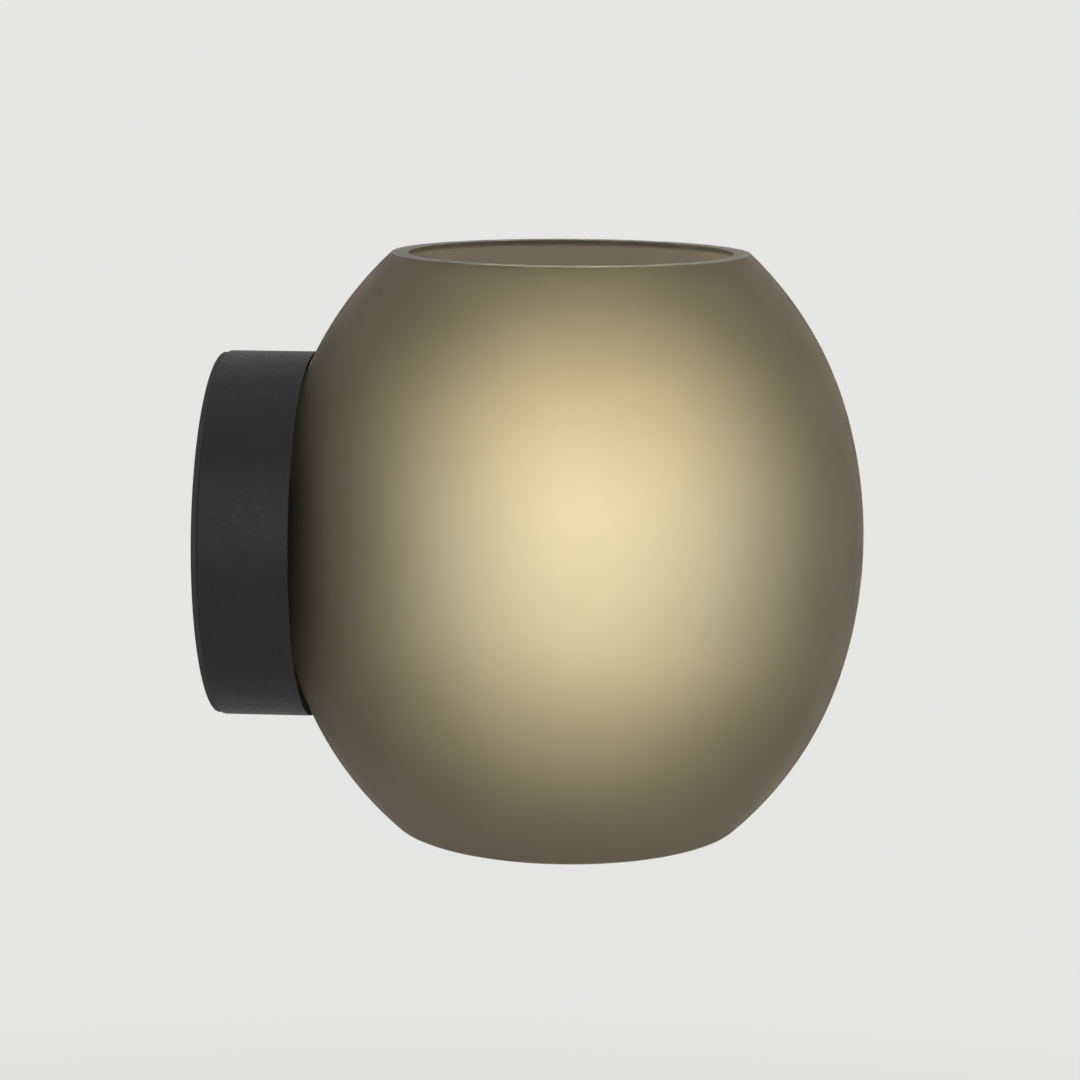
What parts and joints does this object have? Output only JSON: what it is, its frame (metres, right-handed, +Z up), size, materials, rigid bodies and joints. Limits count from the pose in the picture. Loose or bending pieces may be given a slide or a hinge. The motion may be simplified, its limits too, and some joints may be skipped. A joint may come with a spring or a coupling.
{
  "type": "globe wall sconce",
  "caption": "Wall light with a smoked frosted glass globe, open above and below, clamped to a round dished black mount by a threaded ring on its screw lampholder.",
  "frame": {"origin": "centre of the wall-contact face, on the axis of the round mount", "axes": "+Z up, +Y into the wall, so the light stands out along -Y; +X to the right seen from the room"},
  "size_m": [0.18, 0.1967, 0.1754],
  "materials": {
    "matte_black": "fine matte powder coat",
    "smoked_glass": "smoked glass, satin etched inside and out",
    "foam": "closed-cell foam",
    "black_rubber": "moulded rubber",
    "silicone": "translucent silicone",
    "holder_plastic": "black thermoplastic",
    "white_insert": "unglazed steatite",
    "white_polyamide": "natural polyamide",
    "brass": "bright brass",
    "zinc_steel": "zinc plated",
    "black_screw": "black oxide",
    "tinned_copper": "tinned",
    "lead_brown": "silicone insulation",
    "lead_blue": "silicone insulation",
    "lead_green_yellow": "green and yellow insulation",
    "opal_glass": "opal, lit warm",
    "nickel": "nickel-plated brass",
    "black_glass": "black glass insulator",
    "solder": "solder"
  },
  "bodies": {
    "fixture": {"wall_plate": "zinc_steel", "wall_gasket": "foam", "cable_grommet": "black_rubber", "canopy": "matte_black", "canopy_screw": "black_screw", "seat_gasket": "silicone", "glass_shade": "smoked_glass", "lampholder_body": "holder_plastic", "contact_carrier": "white_insert", "thread_shell": "brass", "centre_contact": "brass", "shell_contact": "brass", "holder_terminals": "brass", "holder_terminal_screws": "zinc_steel", "mounting_nipple": "zinc_steel", "nipple_nut": "zinc_steel", "lock_washer": "zinc_steel", "terminal_block": "white_polyamide", "terminal_clamps": "brass", "terminal_screws": "zinc_steel", "block_screw": "zinc_steel", "live_lead": "lead_brown", "neutral_lead": "lead_blue", "earth_lead": "lead_green_yellow", "earth_terminal": "tinned_copper", "earth_washer": "zinc_steel", "earth_screw": "brass"},
    "clamp_gasket": {"clamp_gasket": "silicone"},
    "shade_ring": {"shade_ring": "holder_plastic"},
    "lamp_tip": {"lamp_contact": "solder"},
    "lamp": {"lamp_bulb": "opal_glass", "lamp_cap": "nickel", "lamp_insulator": "black_glass"}
  },
  "joints": [
    {"name": "ring_travel", "type": "slide", "parent": "fixture", "child": "clamp_gasket", "axis": [0, -1, 0], "range_m": [0, 0.024]},
    {"name": "ring_turn", "type": "hinge", "parent": "clamp_gasket", "child": "shade_ring", "pos_m": [0, -0.02636, 0], "axis": [0, -1, 0], "range_deg": [0, 2880]},
    {"name": "lamp_travel", "type": "slide", "parent": "fixture", "child": "lamp_tip", "axis": [0, -1, 0], "range_m": [0, 0.01452]},
    {"name": "lamp_turn", "type": "hinge", "parent": "lamp_tip", "child": "lamp", "pos_m": [0, -0.04026, 0], "axis": [0, -1, 0], "range_deg": [0, 1440]}
  ],
  "couplings": [
    {"joint": "ring_travel", "follows": "ring_turn", "m_per_rad": 0.00047746},
    {"joint": "lamp_travel", "follows": "lamp_turn", "m_per_rad": 0.00057751}
  ]
}
